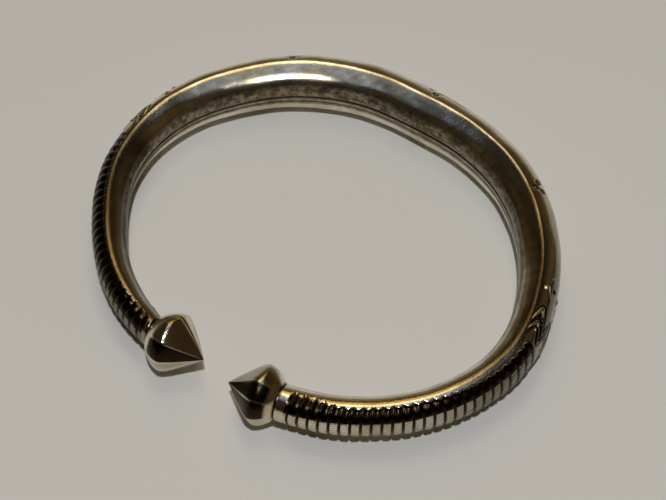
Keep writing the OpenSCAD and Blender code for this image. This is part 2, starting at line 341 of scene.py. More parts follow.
def armRows(side):
    # Crest places of an arm's mesh rows: close together at each groove and in the chased zone
    count, first = hoop["grooves"][side], hoop["firstGroove"][side]
    middles = first + hoop["ribPitch"] * np.arange(count)[:, None]
    ribs = (middles + np.array(hoop["ribRows"])[None]).ravel()
    return np.concatenate([
        np.arange(0, ribs[0] - hoop["endGap"], hoop["endRows"]),
        ribs,
        np.arange(ribs[-1] + hoop["leafRows"], hoop["grainStart"], hoop["leafRows"]),
        np.arange(hoop["grainStart"], hoop["grainEnd"], hoop["grainRows"]),
    ])


def backRows():
    # Crest places of the plain back, closer together where the rings are punched
    start, end = hoop["plainStart"], hoopLength - hoop["plainStart"]
    coarse = np.arange(start, end, hoop["backRows"])
    centres = np.interp([bearing for bearing, angle in hoop["rings"]], bearings, places)
    before, after = hoop["ringReach"]
    fine = np.concatenate([np.arange(c - before, c + after, hoop["ringRows"]) for c in centres])
    rows = np.unique(np.round(np.concatenate([coarse, fine, [end]]), hoop["roundTo"]))
    return rows[np.concatenate([[True], np.diff(rows) > hoop["closest"]])]


crestPlace = np.sort(np.concatenate([armRows(0), backRows(), hoopLength - armRows(1)]))
rowCount = len(crestPlace)
fromLeft, fromRight = crestPlace, hoopLength - crestPlace
onLeft = fromLeft < fromRight
armPlace = np.where(onLeft, fromLeft, fromRight)  # distance from the nearer end, at the crest
shifts = [np.interp(armPlace, *armLayout(side).T) for side in (0, 1)]
rowShift = np.where(onLeft, shifts[0], -shifts[1])
rowBearing = np.interp(crestPlace, places, bearings)

# Spots round the section: the outer face by angle, then the lower bevel, the inner face with
# the seam, and the upper bevel. Each has a kind, a value and its side (1 above, -1 below).
faceKind, bevelKind, innerKind, seamKind = 0, 1, 2, 3
faceAngles = np.concatenate([
    np.arange(90, hoop["faceTurn"], -hoop["faceStep"]),
    np.arange(hoop["faceTurn"], -90 - hoop["faceStep"], -2 * hoop["faceStep"]),
])
bevelShares = np.concatenate([
    np.linspace(0, hoop["bevelEnd"][0], hoop["bevelSpots"])[1:], hoop["bevelEnd"][1:],
])
innerShares = np.array(hoop["innerSpots"])


def spotColumns(parts):
    # The kind, the value and the side of every spot, from parts of one kind and side each
    kind = np.concatenate([np.full(len(values), kind) for kind, values, side in parts])
    value = np.concatenate([np.asarray(values, float) for kind, values, side in parts])
    side = np.concatenate([np.full(len(values), side) for kind, values, side in parts])
    return kind, value, side


spotKind, spotValue, spotSide = spotColumns([
    (faceKind, faceAngles, 1),
    (bevelKind, bevelShares, -1), (innerKind, innerShares, -1), (seamKind, [0], -1),
    (seamKind, [0], 1), (innerKind, innerShares[::-1], 1), (bevelKind, bevelShares[::-1], 1),
])
spotCount = len(spotKind)
lowerCrest = len(faceAngles) - 1
lowerSeam = len(faceAngles) + len(bevelShares) + len(innerShares)
upperSeam = lowerSeam + 1


def cubic(t, first, second, third, fourth):
    # Cubic curve by its four control values
    return ((1 - t) ** 3 * first + 3 * (1 - t) ** 2 * t * second
            + 3 * (1 - t) * t**2 * third + t**3 * fourth)


def sectionPoints(kind, value, side, w, h, flat, crestX, sharp, full):
    # Outer face: half an ellipse by angle, drawn to a point at a sharp crest. Bevel: a cubic curve
    # from the crest to the corner. Inner face: a straight line from the corner to the seam.
    # Columns are outwards and upwards.
    crestZ, cornerX, cornerZ = h / 2, -w / 2, flat / 2
    angle = np.radians(value)
    faceX = crestX + (w / 2 - crestX) * np.abs(np.cos(angle)) ** (1 + band["shoulder"][0] * sharp)
    faceZ = crestZ * np.sign(angle) * np.abs(np.sin(angle)) ** (1 - band["shoulder"][1] * sharp - full)
    run, drop = crestX - cornerX, crestZ - cornerZ
    bend = [r + sharp * (s - r) for r, s in zip(band["roundBevel"], band["sharpBevel"])]
    bevelX = cubic(value, crestX, crestX - bend[0] * run, cornerX + bend[1] * run, cornerX)
    bevelZ = cubic(value, crestZ, crestZ - bend[2] * drop, cornerZ + bend[3] * drop, cornerZ)
    x = np.select([kind == faceKind, kind == bevelKind], [faceX, bevelX], cornerX)
    z = np.select([kind == faceKind, kind == bevelKind, kind == innerKind],
                  [faceZ, side * bevelZ, side * value * cornerZ], side * band["seam"] / 2)
    return x, z


def bandPoints(place, kind, value, side, inset):
    # Points of the band at places along it, set in from its skin
    bearing = np.interp(place, places, bearings)
    w = band["width"] * alongOutline(bearing, widthColumn) - 2 * inset
    h = band["height"] * alongOutline(bearing, heightColumn) - 2 * inset
    flat, crestX = h * alongOutline(bearing, flatColumn), w * alongOutline(bearing, crestColumn)
    sharp = np.clip(alongOutline(bearing, sharpColumn), 0, 1)
    fullBearing, fullReach, fullMost = band["fullShoulder"]
    full = fullMost * bump(bearing - fullBearing, fullReach)
    x, z = sectionPoints(kind, value, side, w, h, flat, crestX, sharp, full)
    heading = turned(headingAt(bearing), endTurn(place))
    middle = middleLine(bearing)
    return np.stack([middle[..., 0] - heading[..., 1] * x, middle[..., 1] + heading[..., 0] * x,
                     band["middle"] + z], axis=-1)


isFace = (spotKind == faceKind)[None]
inner = np.isin(spotKind, (innerKind, seamKind))[None]
upperBevel = ((spotKind == bevelKind) & (spotSide > 0))[None]
steepness = np.abs(spotValue)[None] * isFace  # degrees from the middle of the outer face
bend = 1 - (steepness / 90) ** hoop["grooveCurve"]
spotPlace = crestPlace[:, None] + np.where(isFace, rowShift[:, None] * bend, 0)
spotGrids = [np.broadcast_to(column[None], spotPlace.shape) for column in (spotKind, spotValue, spotSide)]
plainSkin = bandPoints(spotPlace, *spotGrids, 0)

# The frame's own hoop gives the place of the pole
low, high = (np.array(corner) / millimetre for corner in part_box("hoop"))
pole = np.array([(low[0] + high[0]) / 2 - (plainSkin[..., 0].min() + plainSkin[..., 0].max()) / 2,
                 high[1] - plainSkin[..., 1].max(), 0])
plainSkin = plainSkin + pole
innerHeight = plainSkin[..., 2] - band["middle"]
skinNormal = gridNormals(plainSkin)
skinNormal = skinNormal * np.sign((skinNormal[..., 2] * innerHeight).mean())  # outwards
print("hoop:", rowCount, "rows of", spotCount, "spots, pole at", np.round(pole, 2))

halfHeight = band["height"] * alongOutline(rowBearing, heightColumn)[:, None] / 2
halfFlat = halfHeight * alongOutline(rowBearing, flatColumn)[:, None]
crestSharp = np.clip(alongOutline(rowBearing, sharpColumn), 0, 1)[:, None]

# Distance from the nearer crest: positive down the outer face, negative down the bevel
crests = np.where(spotSide[None, :, None] < 0, plainSkin[:, lowerCrest:lowerCrest + 1], plainSkin[:, :1])
downFace = np.radians(90 - steepness) * halfHeight
crestArc = np.where(isFace, downFace, -np.linalg.norm(plainSkin - crests, axis=-1))


def surfacePoint(place, angle):
    # A point of the outer face, for what is punched into it or raised on it
    place, angle = np.asarray(place, float), np.asarray(angle, float)
    zero = np.zeros_like(place)
    return bandPoints(place, zero, angle, zero, 0) + pole


def alongLine(linePlaces, angles, spacing):
    # Evenly spaced points along a line on the outer face
    line = surfacePoint(linePlaces, angles)
    travelled = np.concatenate([[0], np.cumsum(np.linalg.norm(np.diff(line, axis=0), axis=1))])
    stops = np.arange(spacing / 2, travelled[-1], spacing)
    return np.stack([np.interp(stops, travelled, line[:, k]) for k in range(3)], axis=1)


def leafPlace(line, angle):
    # Place of a leaf's line: from the crest place to the tip's by how far the angle is into the leaf
    half = hoop["leafFolds"] / 2
    fold = np.abs((angle + half) % hoop["leafFolds"] - half) / half
    return line[0] + (line[1] - line[0]) * (1 - fold ** hoop["leafCurve"])


def leafMarks(lines, spacing):
    # Points along the leaves' lines on both arms, from crest to crest
    angles = np.linspace(hoop["leafReach"], -hoop["leafReach"], hoop["leafSamples"])
    left = [leafPlace(line, angles) for line in lines]
    return np.concatenate([alongLine(p, angles, spacing) for q in left for p in (q, hoopLength - q)])


def distanceToNearest(points, centres):
    # Distance from every point to the nearest of the centres
    tree = KDTree(len(centres))
    for k, centre in enumerate(centres):
        tree.insert(centre, k)
    tree.balance()
    return np.array([tree.find(p)[2] for p in points.reshape(-1, 3)]).reshape(points.shape[:-1])


def byArm(key):
    # The left or the right arm's value of a pair, for every row
    return np.where(onLeft, *hoop[key])


def below(key):
    # How far a spot lies below a section angle, over the degrees that its fade takes
    angle, reach = hoop[key]
    return (angle - steepness) / reach


def grooveRelief():
    # Depth of the grooves, and how dark they and the ribs are. d is the distance along the arm from the
    # nearest groove and e the distance from where it starts, down the face. Each goes in with a pointed scoop
    # and narrows to a V, and the ribs between are crowned and marked with the file.
    index = np.clip(np.round((armPlace - byArm("firstGroove")) / hoop["ribPitch"]), 0, byArm("grooves") - 1)
    d = np.abs(armPlace - byArm("firstGroove") - index * hoop["ribPitch"])[:, None]
    tops = np.where(onLeft, *[np.interp(armPlace, *np.array(table).T) for table in hoop["grooveTops"]])
    e = crestArc - np.radians(90 - tops[:, None]) * halfHeight
    opened = np.clip(e / hoop["scoopLength"], 0, 1)
    # The scoop is a facet that widens from a point to its full width, then fades down the rib
    scoopWidth = byArm("scoopHalfWidth")[:, None] * opened
    share, more = hoop["scoopSide"]
    scoop = ease((scoopWidth - d) / (share * scoopWidth + more)) * ease(e / hoop["scoopStart"])
    scoop = scoop * bump(np.maximum(e - hoop["scoopLength"], 0), hoop["scoopFade"])
    line = np.clip(1 - d / hoop["grooveHalfWidth"], 0, 1) * ease(opened)
    crown = hoop["ribCrown"] * (1 - 2 * d / hoop["ribPitch"]) ** 2 * ease(opened)
    filed = np.sin(2 * math.pi * crestArc / hoop["fileStep"] + hoop["fileShift"] * index[:, None])
    filed = filed * ease(below("fileStart")) * isFace
    depth = np.maximum(byArm("grooveDepth")[:, None] * line, byArm("scoopDepth")[:, None] * scoop)
    ribbed = (d <= hoop["ribPitch"] / 2 + tiny) & ~inner
    # Oxide stays in the cuts, and the upper half of each rib is darkened down to a section angle: painted
    # shade for its dark reflection
    start, reach = hoop["ribShadeTop"]
    foot, footReach = hoop["ribShadeFoot"]
    oxideAndShade = byArm("ribShade")[:, None] * ease((e - start) / reach)
    oxideAndShade = np.maximum(oxideAndShade * ease((steepness - foot) / footReach), ease(line * hoop["grooveOxide"]))
    marks = np.maximum(hoop["fileOxide"] * np.clip(filed, 0, 1), hoop["scoopOxide"] * scoop)
    return (np.where(ribbed, depth + crown + hoop["fileMarks"] * filed, 0),
            np.where(ribbed, np.maximum(oxideAndShade, marks), 0))


def chasedRelief():
    # Thin raised lines round the leaves, a cut along both sides of each, and the rows of dots
    # punched between them
    fade = np.where(isFace, np.clip(below("leafFade"), 0, 1), 0)
    zone = (armPlace > hoop["leafZone"][0]) & (armPlace < hoop["leafZone"][1])
    away = distanceToNearest(plainSkin[zone], leafMarks(hoop["leafLines"], hoop["lineSpacing"]))
    dotAway = distanceToNearest(plainSkin[zone], leafMarks(hoop["dotLines"], hoop["dotSpacing"]))
    raised, cut, dots = (np.zeros(spotPlace.shape) for _ in range(3))
    raised[zone] = bump(away, hoop["lineWidth"])
    cut[zone] = bump(away - hoop["lineCutAway"], hoop["lineCutWidth"])
    dots[zone] = bump(dotAway, hoop["dotRadius"])
    return raised * fade, cut * fade, dots * fade


def punchedRelief():
    # Ring punches, each a round cut about its centre, and the long stroke beside them
    bearing, angle = np.array(hoop["rings"]).T
    centres = surfacePoint(np.interp(bearing, bearings, places), angle)
    rings = bump(distanceToNearest(plainSkin, centres) - hoop["ringRadius"], hoop["ringWidth"])
    corners = np.arange(len(hoop["stroke"]))
    t = np.linspace(0, corners[-1], hoop["strokeSamples"])
    bearing, angle = (np.interp(t, corners, column) for column in np.array(hoop["stroke"]).T)
    line = alongLine(np.interp(bearing, bearings, places), angle, hoop["strokeSpacing"])
    stroke = bump(distanceToNearest(plainSkin, line), hoop["strokeWidth"])
    return rings * isFace, stroke * isFace


def granuleRelief():
    # Round grains by the leaves' tips and in their mouths, on both arms: 1 less the square of the
    # distance over the radius
    total = np.zeros(spotPlace.shape)
    middles = np.array([-1, 0, 1]) * hoop["leafFolds"]
    for table, radius in ((hoop["granules"], hoop["granuleRadius"]), (hoop["tails"], hoop["tailRadius"])):
        spots = [[p, m - q if m < 0 else m + q] for p, q in table for m in middles]
        place, angle = np.array(spots, float).T
        grains = np.concatenate([surfacePoint(place, angle), surfacePoint(hoopLength - place, angle)])
        away = distanceToNearest(plainSkin, grains)
        total = np.maximum(total, np.clip(1 - (away / radius) ** 2, 0, 1) * radius / hoop["granuleRadius"])
    return total * isFace


def dullnessAndPaintedShade():
    # Darker silver, partly dull and partly painted shade for dimmer reflections: the left arm, the middle of
    # the right arm and its outer edge, both arms' crests (painted shade over their highlight), mottled
    # patches on the back's upper bevel
    most, end, reach = hoop["dullShadeLeft"]
    arms = most * ease((end - fromLeft) / reach)[:, None]
    most, middle, reach = hoop["dullShadeRight"]
    arms = np.maximum(arms, most * bump(rowBearing - middle, reach)[:, None])
    most, reach, width = hoop["dullShadeCrest"]
    for middle in hoop["dullShadeCrestAt"]:
        arms = np.maximum(arms, most * bump(rowBearing - middle, reach)[:, None] * bump(crestArc, width))
    most, middle, reach = hoop["dullShadeEdge"]
    edge = most * bump(rowBearing - middle, reach)[:, None] * isFace * ease(below("dullShadeEdgeTop"))
    mottle = hoop["mottleDepth"] * sum(waves(plainSkin, size, seed) for size, seed in hoop["mottles"])
    bevel = np.clip(hoop["dullShadeBevel"] + mottle, 0, hoop["dullShadeBevelMost"]) * crestSharp
    bevel = bevel * upperBevel * ease(spotValue / hoop["dullShadeBevelStart"])
    return np.maximum(arms * ~inner, edge) + bevel


def brownFilm():
    # The film on the inner face, over its upper corner and, thinner, below the seam
    start, reach = hoop["filmTop"]
    upper = inner * ease((innerHeight - start) / reach)
    start, reach = hoop["filmCorner"]
    corner = upperBevel * ease((spotValue - start) / reach)
    return np.maximum(np.maximum(upper, corner), hoop["filmBelow"] * (inner & (innerHeight < 0)))


grooveDepth, grooveOxideAndRibShade = grooveRelief()
lineRaised, lineCut, dotMarks = chasedRelief()
ringMarks, strokeMarks = punchedRelief()
granules = granuleRelief()
rolled = hoop["lipRoll"][0] * inner * bump(np.abs(innerHeight), hoop["lipRoll"][1])
scored = inner * bump(innerHeight + hoop["scoredLine"][0] * halfFlat, hoop["scoredLine"][1])
uneven = hoop["waviness"] * waves(plainSkin, hoop["waveSize"], hoop["waveSeed"])
uneven = uneven * np.where(inner, hoop["innerWaviness"], 1)
keptShare, keptPlace, keptReach = hoop["keptCrest"]
crestKept = (onLeft * keptShare * ease((fromLeft - keptPlace) / keptReach))[:, None]
crestKept = np.maximum(crestKept, crestSharp)
raised = (hoop["lineHeight"] * lineRaised + hoop["granuleHeight"] * granules
          + hoop["crestHeight"] * crestKept * bump(crestArc, hoop["crestWidth"]))
sunk = (grooveDepth + hoop["lineCut"] * lineCut + hoop["dotDepth"] * dotMarks + hoop["ringDepth"] * ringMarks
        + hoop["strokeDepth"] * strokeMarks + hoop["scoredDepth"] * scored + rolled + hoop["setIn"])
skin = plainSkin + skinNormal * (raised - sunk + uneven)[..., None]
# Oxide in the cuts and punches, with painted shade on the ribs' upper halves, along the seam and in the dull
# zones
darkness = (grooveOxideAndRibShade + dotMarks + ringMarks + strokeMarks + hoop["cutOxide"] * lineCut + scored
            + bump(np.abs(innerHeight), hoop["seamShade"]) * inner + dullnessAndPaintedShade())

# The hollow's own skin has the same rows and fewer spots
hollowAngles, hollowShares = hoop["hollowAngles"], hoop["hollowBevel"]
hollowKind, hollowValue, hollowSide = spotColumns([
    (faceKind, hollowAngles, 1), (bevelKind, hollowShares, -1), (seamKind, [0], -1),
    (seamKind, [0], 1), (bevelKind, hollowShares[::-1], 1),
])
hollowCount = len(hollowKind)
hollowGrids = np.broadcast_arrays(crestPlace[:, None], hollowKind[None], hollowValue[None], hollowSide[None])
hollow = bandPoints(*hollowGrids, band["wall"]) + pole
hollowLower = len(hollowAngles) + len(hollowShares)
hollowUpper = hollowLower + 1
seamFirst = int(np.searchsorted(crestPlace, hoop["seamPlaces"][0]))
seamLast = int(np.searchsorted(crestPlace, hoopLength - hoop["seamPlaces"][1]))
skinSize = rowCount * spotCount


def skinAt(row, spot):
    # Number of a point of the skin: the spots of the rows before it, plus its spot
    return row * spotCount + spot


def hollowAt(row, spot):
    # The same for the hollow, whose points follow the skin's
    return skinSize + row * hollowCount + spot


def openAt(spot):
    # Test for the faces of a grid that the open seam takes away
    return lambda i, j: (j == spot) & (i >= seamFirst) & (i < seamLast)


def seamFaces():
    # Walls of the open seam, from the skin to the hollow, and its two ends
    i = np.arange(seamFirst, seamLast)
    lower = np.stack([skinAt(i, lowerSeam), skinAt(i + 1, lowerSeam), hollowAt(i + 1, hollowLower),
                      hollowAt(i, hollowLower)], axis=-1)
    upper = np.stack([skinAt(i, upperSeam), hollowAt(i, hollowUpper), hollowAt(i + 1, hollowUpper),
                      skinAt(i + 1, upperSeam)], axis=-1)
    first, last = ([skinAt(row, lowerSeam), hollowAt(row, hollowLower), hollowAt(row, hollowUpper),
                    skinAt(row, upperSeam)] for row in (seamFirst, seamLast))
    return np.vstack([lower, upper, [first, last[:1] + last[:0:-1]]])


def rimFaces(row, flip):
    # Flat rim at an end: one many-sided face for each spot of the hollow
    away = np.abs(spotValue[None] - hollowValue[:, None])
    same = (spotKind[None] == hollowKind[:, None]) & (spotSide[None] == hollowSide[:, None])
    nearest = np.argmin(np.where(same, away, np.inf), axis=1).tolist()
    rim = []
    for k, start in enumerate(nearest):
        span = (nearest[(k + 1) % hollowCount] - start) % spotCount
        outer = [skinAt(row, (start + n) % spotCount) for n in range(span + 1)]
        face = outer + [hollowAt(row, (k + 1) % hollowCount), hollowAt(row, k)]
        rim.append(face[::-1] if flip else face)
    return rim


faces = np.vstack([
    gridFaces(0, rowCount, spotCount, openAt(lowerSeam)),
    gridFaces(skinSize, rowCount, hollowCount, openAt(hollowLower), inwards=True),
    seamFaces(),
]).tolist()
faces += rimFaces(0, False) + rimFaces(rowCount - 1, True)
points = np.vstack([skin.reshape(-1, 3), hollow.reshape(-1, 3)])
# The hollow's inside is painted fully dark: painted shade seen through the open seam
hidden = np.ones(rowCount * hollowCount)
hoopPiece = makeMesh("ribbed_hoop", points, faces, {
    "patinaAndPaintedShade": np.concatenate([np.clip(darkness, 0, 1).ravel(), hidden]),
    "brown": np.concatenate([brownFilm().ravel(), np.zeros_like(hidden)]),
})
print("hoop:", len(hoopPiece.data.vertices), "points")


# The buds

budShape = {
    "diameter": 9.7,
    "gap": 0.06,
    # share of the length, share of the largest radius
    "profile": [
        [0, 0.55], [0.04, 0.64], [0.11, 0.77], [0.20, 0.90], [0.29, 0.975], [0.38, 1],
        [0.46, 0.96], [0.54, 0.87], [0.64, 0.71], [0.76, 0.49], [0.88, 0.25], [1, 0],
    ],
    "flatness": 0.75,  # 1 for flat petals, 0 for a plain cone
    "blend": 0.16,  # how softly the petals are rubbed into the bulb, as a share of the radius
    "edgeLine": 0.09,  # the edges between petals are left proud
    "edgeWidth": 2.2,  # degrees
    "edgeStart": (0.3, 0.15),  # share of the length from which they stand out, and over what share
    "edgeEnd": 0.3,  # and over what share they end at the point
    "waviness": 0.03,
    "waveSize": 4,
    "setIn": 1.2,  # how many waves' heights the skin lies inside its plain form
    "calmEnds": 6,  # how quickly the waves come in from both ends
    "calmCore": 0.5,  # radius below which they get smaller
    "pegDiameter": 2.6,
    "pegLength": 2.4,
    "pegChamfer": 0.15,
    "pegRings": (-1.5, -0.7),
    "rows": 110,
    "lastRow": 0.998,
    "spokeStep": 1.4,  # degrees
    "fewestSpokes": 4,
    "petalShadeRise": 0.1,  # share of the length over which a petal's painted shade comes in
    "petalShadeEdge": 4,  # degrees from an edge where the painted shade stops
    "edgeOxide": (0.25, 4, 3),  # beside an edge: how dark, how many degrees away, over how many
    "cutStart": 0.03,
    "seatShade": 0.03,  # share of the length painted dark in the crevice behind the bud: painted shade
}
# petalSlope: of the edges between petals, as a share of the radius over the length
# darkStart: share of the length from which petals are painted dark: painted shade standing in for their dark
# reflections
# edges: angle from straight up, how proud it stands, how dark the petal after it is painted, as painted shade
# for its reflection
buds = {
    "left_bud": {
        "node": "left_finial", "place": 0, "direction": -1, "turn": 15, "length": 9.5, "seed": 11,
        "darkStart": 0.1, "petalSlope": 1.88,
        "edges": [
            [-150, 0.7, 0], [-104, 1, 0.3], [-80, 0.8, 1], [-38, 0.8, 0.42], [22, 1, 0.3],
            [32, 1, 0], [55, 0.7, 0], [104, 0.8, 0], [160, 0.8, 0],
        ],
    },
    "right_bud": {
        "node": "right_finial", "place": hoopLength, "direction": 1, "turn": -2, "length": 8.9, "seed": 12,
        "darkStart": 0.08, "petalSlope": 1.7,
        "edges": [
            [-156, 0.8, 0], [-104, 0.8, 0.2], [-50, 0.8, 0.4], [10, 1, 0.9], [48, 0.3, 1],
            [90, 1, 0.1], [146, 0.8, 0],
        ],
    },
}


def smoothProfile(share):
    # The profile's points joined by cubics. The slope at a point is the harmonic mean of the slopes
    # beside it, or 0 where they differ in sign, so that no cubic overshoots
    x, y = np.array(budShape["profile"]).T
    slope = np.diff(y) / np.diff(x)
    before, after = slope[:-1], slope[1:]
    inside = np.where(after * before > 0, 2 * after * before / (after + before + tiny), 0)
    tangent = np.concatenate([[slope[0]], inside, [slope[-1]]])
    i = np.clip(np.searchsorted(x, share) - 1, 0, len(x) - 2)
    run = x[i + 1] - x[i]
    t = (share - x[i]) / run
    return ((2 * t**3 - 3 * t**2 + 1) * y[i] + (t**3 - 2 * t**2 + t) * run * tangent[i]
            + (3 * t**2 - 2 * t**3) * y[i + 1] + (t**3 - t**2) * run * tangent[i + 1])


def ringsAt(along, radius, angle):
    # Points round the X axis: the place along it, the radius times sine and times cosine
    x, r, a = np.broadcast_arrays(along, radius, np.radians(angle))
    return np.stack([x, r * np.sin(a), r * np.cos(a)], axis=-1)


def petalForm(bud):
    # A round bulb along its own X, cut by petals that meet at the point. Between two edges the
    # radius of a petal lies between a cone's and a plane's: the edge's times cos(half) / cos(off).
    edges, proud, shade = np.array(bud["edges"], float).T
    spans = np.diff(np.append(edges, edges[0] + 360))
    counts = np.maximum(budShape["fewestSpokes"], np.round(spans / budShape["spokeStep"])).astype(int)
    angle = np.concatenate([e + s * np.arange(n) / n for e, s, n in zip(edges, spans, counts)])
    half = np.repeat(spans / 2, counts)
    off = angle - np.repeat(edges + spans / 2, counts)
    fromEdge = half - np.abs(off)
    nearerProud = np.where(off < 0, np.repeat(proud, counts), np.repeat(np.roll(proud, -1), counts))
    line = nearerProud * bump(fromEdge, budShape["edgeWidth"])
    share = np.append(np.linspace(0, 1, budShape["rows"])[:-1], budShape["lastRow"])[:, None]
    bulb = smoothProfile(share)
    plane = 1 + budShape["flatness"] * (np.cos(np.radians(half)) / np.cos(np.radians(off)) - 1)
    flat = bud["petalSlope"] * (1 - share) * plane
    apart = np.clip(1 - np.abs(bulb - flat) / budShape["blend"], 0, 1)
    rounded = np.maximum(np.minimum(bulb, flat) - budShape["blend"] * apart**2 / 4, 0)
    start, rise = budShape["edgeStart"]
    standing = ease((share - start) / rise) * ease((1 - share) / budShape["edgeEnd"])
    r = rounded * budShape["diameter"] / 2 + standing * budShape["edgeLine"] * line
    local = ringsAt(share * bud["length"], r, angle)
    calm = np.minimum(1, budShape["calmEnds"] * share * (1 - share))
    push = waves(local, budShape["waveSize"], bud["seed"]) - budShape["setIn"]
    push = budShape["waviness"] * push * calm
    local[..., 1:] *= (1 + push / np.maximum(r, budShape["calmCore"]))[..., None]
    # Painted shade on the dark petals for their dark reflections, oxide beside their edges, and painted shade
    # in the crevice behind the bud
    petal = ease((share - bud["darkStart"]) / budShape["petalShadeRise"]) * np.repeat(shade, counts)
    petal = petal * ease(fromEdge / budShape["petalShadeEdge"])
    most, away, width = budShape["edgeOxide"]
    beside = most * ease((bulb - flat) / budShape["cutStart"]) * bump(fromEdge - away, width)
    return angle, local, np.maximum(petal, beside) + bump(share, budShape["seatShade"])


def makeBud(name, bud):
    # The bud with its peg, set in the hoop's frame
    # The oxide holds the petals' painted shade and the painted shade in the crevice as well
    angle, local, oxideAndShade = petalForm(bud)
    # The peg behind it, straight back into the hollow of the band
    pegRadius, pegLength, chamfer = budShape["pegDiameter"] / 2, budShape["pegLength"], budShape["pegChamfer"]
    along = np.array([-pegLength, chamfer - pegLength, *budShape["pegRings"]])[:, None]
    radius = np.array([pegRadius - chamfer] + [pegRadius] * (len(along) - 1))[:, None]
    peg = ringsAt(along, radius, angle)
    peg[..., :2] = turned(peg[..., :2], -bud["turn"])
    seat = ringsAt(np.zeros((1, 1)), pegRadius, angle)
    grid = np.concatenate([peg, seat, local])
    pegEnd = turned(np.array([-pegLength, 0]), -bud["turn"])
    poles = np.array([[*pegEnd, 0], [bud["length"], 0, 0]])
    # Into the hoop's frame: turned to its own heading and set a gap before the hoop's end
    bearing = np.interp(bud["place"], places, bearings)
    forward = bud["direction"] * turned(headingAt(bearing), bud["turn"])
    base = middleLine(bearing) + pole[:2] + budShape["gap"] * forward
    sideways = np.array([-forward[1], forward[0]])

    def placed(p):
        # From the bud's own axes: forward along it, sideways across it, and up
        inPlan = base + p[..., :1] * forward + p[..., 1:2] * sideways
        return np.concatenate([inPlan, p[..., 2:] + band["middle"]], axis=-1)

    # Quads along the bud, and triangles to a pole at each end
    rows, spokes = len(grid), len(angle)
    around = np.arange(spokes)
    nextOne = (around + 1) % spokes
    first, last, tail = rows * spokes, rows * spokes + 1, (rows - 1) * spokes
    caps = np.vstack([np.stack([np.full_like(around, first), nextOne, around], axis=-1),
                      np.stack([np.full_like(around, last), tail + around, tail + nextOne], axis=-1)])
    budFaces = gridFaces(0, rows, spokes, inwards=True).tolist() + caps.tolist()
    # The peg and its pole are dark, and the bud's point is bright
    hidden = np.ones((len(peg) + len(seat)) * spokes)
    patinaAndPaintedShade = np.clip(np.concatenate([hidden, oxideAndShade.ravel(), [1, 0]]), 0, 1)
    budPoints = np.vstack([placed(grid).reshape(-1, 3), placed(poles)])
    return makeMesh(name, budPoints, budFaces, {"patinaAndPaintedShade": patinaAndPaintedShade, "brown": np.zeros_like(patinaAndPaintedShade)})


budPieces = {name: makeBud(name, bud) for name, bud in buds.items()}
print("buds:", ", ".join(f"{name} {len(piece.data.vertices)} points" for name, piece in budPieces.items()))


# The finish

finish = {
    "clean": ("#f0e9d8", "#c9bb97"),  # rubbed bright, and under a thin warm film
    "film": ("#5c5140", "#a09379"),  # the brown film on the inside, dark and light patches
    # dark colour of the oxide, also used for painted shade
    "oxideAndShade": "#2c2419",
    # noises: size in mm, detail, roughness
    "patches": (5.882, 5, 0.62),  # the film comes and goes over about 6 mm
    "mottle": (1.1111, 4, 0.7),  # the brown film is mottled at about 1 mm
    "scratches": (0.3125, 3, 0.65),  # scratches and grain, drawn coarser than real so that they show
    "pits": 0.7692,  # mm apart
    "pitSize": (0.05, 0.25),  # shares of that distance
    "pitDepth": 0.4,  # against the scratches
    # from which value to which each fades in: of the patches, the mottle, the oxide and painted shade, and
    # the gloss
    "filmFade": (0.38, 0.66),
    "mottleFade": (0.42, 0.6),
    "oxideFade": (0.1, 0.8),
    "roughFade": (0.35, 0.7),
    "rough": (0.1, 0.2),  # rubbed, and under the film
    "brownRough": 0.22,  # more than that on the brown film
    "oxideRough": 0.1,  # and on the oxide and painted shade
    "relief": 0.04,  # mm
    "reliefShare": 0.7,
}


def linear(hexColour):
    # sRGB hex to linear colour: a dark channel over 12.92, any other plus 0.055 over 1.055 to the power 2.4
    channels = [int(hexColour[k:k + 2], 16) / 255 for k in (1, 3, 5)]
    return [c / 12.92 if c <= 0.04045 else ((c + 0.055) / 1.055) ** 2.4 for c in channels] + [1]


def perMetre(size):
    # A pattern's scale: 1 over the size of its patches in metres
    return 1 / (size * millimetre)


def addNode(tree, kind, settings, **links):
    # Adds a node. Settings go to its own values or to its sockets, and links join other nodes'
    # sockets to its own, which are named, or numbered as in0, in6 and so on
    node = tree.nodes.new(kind)
    for key, value in settings.items():
        if isinstance(key, str) and hasattr(node, key):
            setattr(node, key, value)
        else:
            node.inputs[key].default_value = value
    for key, source in links.items():
        numbered = key.startswith("in") and key[2:].isdigit()
        socket = node.inputs[int(key[2:]) if numbered else key.replace("_", " ")]
        tree.links.new(source, socket)
    return node
